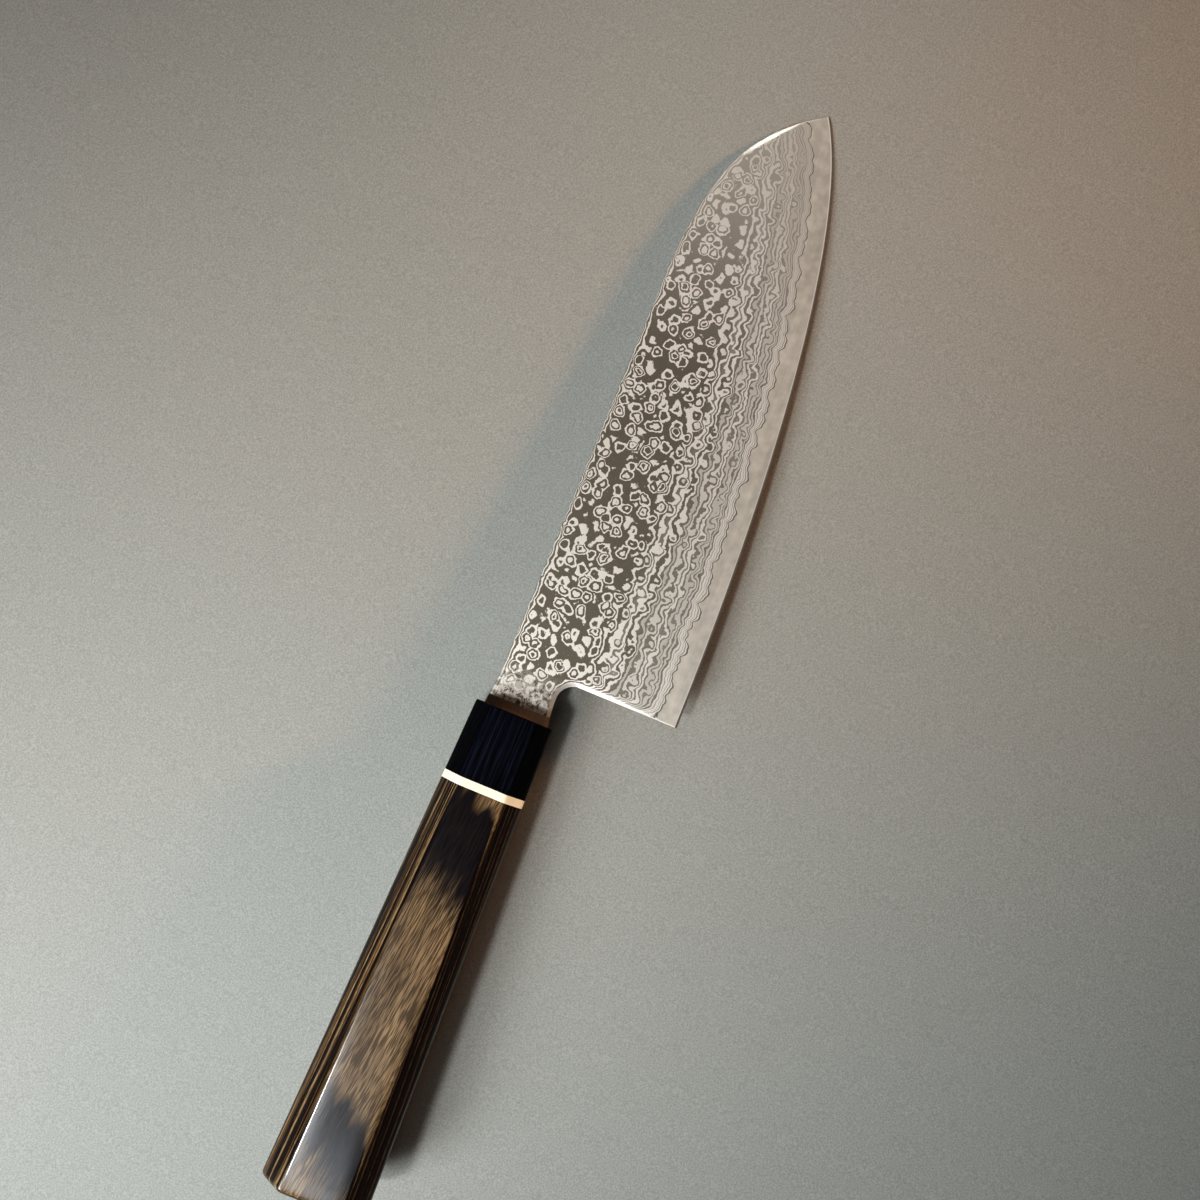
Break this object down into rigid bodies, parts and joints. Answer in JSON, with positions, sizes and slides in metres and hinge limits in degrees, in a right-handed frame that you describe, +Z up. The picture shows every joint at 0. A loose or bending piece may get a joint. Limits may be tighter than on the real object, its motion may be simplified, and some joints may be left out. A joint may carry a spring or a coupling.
{
  "type": "santoku knife",
  "caption": "Santoku kitchen knife: wide layered blade with a gently curved edge and a spine falling to the tip, on a faceted tapering wooden handle with a dark ferrule and a pale ring.",
  "frame": {"origin": "under the middle of the knife's bounding box, at the height of its lowest point", "axes": "+X along the handle's axis towards the tip, +Y towards the spine, +Z up, out of the right-hand face of the blade, so the knife lies on its left side"},
  "size_m": [0.3056, 0.0532, 0.0225],
  "materials": {
    "core_steel": "satin ground steel with a fine bright sharpened bevel",
    "patterned_steel": "etched layered steel, dark and light layers in rings and waves",
    "ferrule_wood": "black dyed hardwood, satin, fine lengthwise grain",
    "spacer_plastic": "smooth ivory-coloured, satin",
    "handle_wood": "laminated dyed veneers, brown and near black, satin",
    "dowel_wood": "bare hardwood, hidden",
    "resin": "cast resin, hidden"
  },
  "bodies": {
    "root": {"blade_core": "core_steel", "cladding_right": "patterned_steel", "cladding_left": "patterned_steel", "ferrule": "ferrule_wood", "spacer_ring": "spacer_plastic", "handle_body": "handle_wood", "dowel": "dowel_wood", "tang_resin": "resin"}
  },
  "joints": []
}
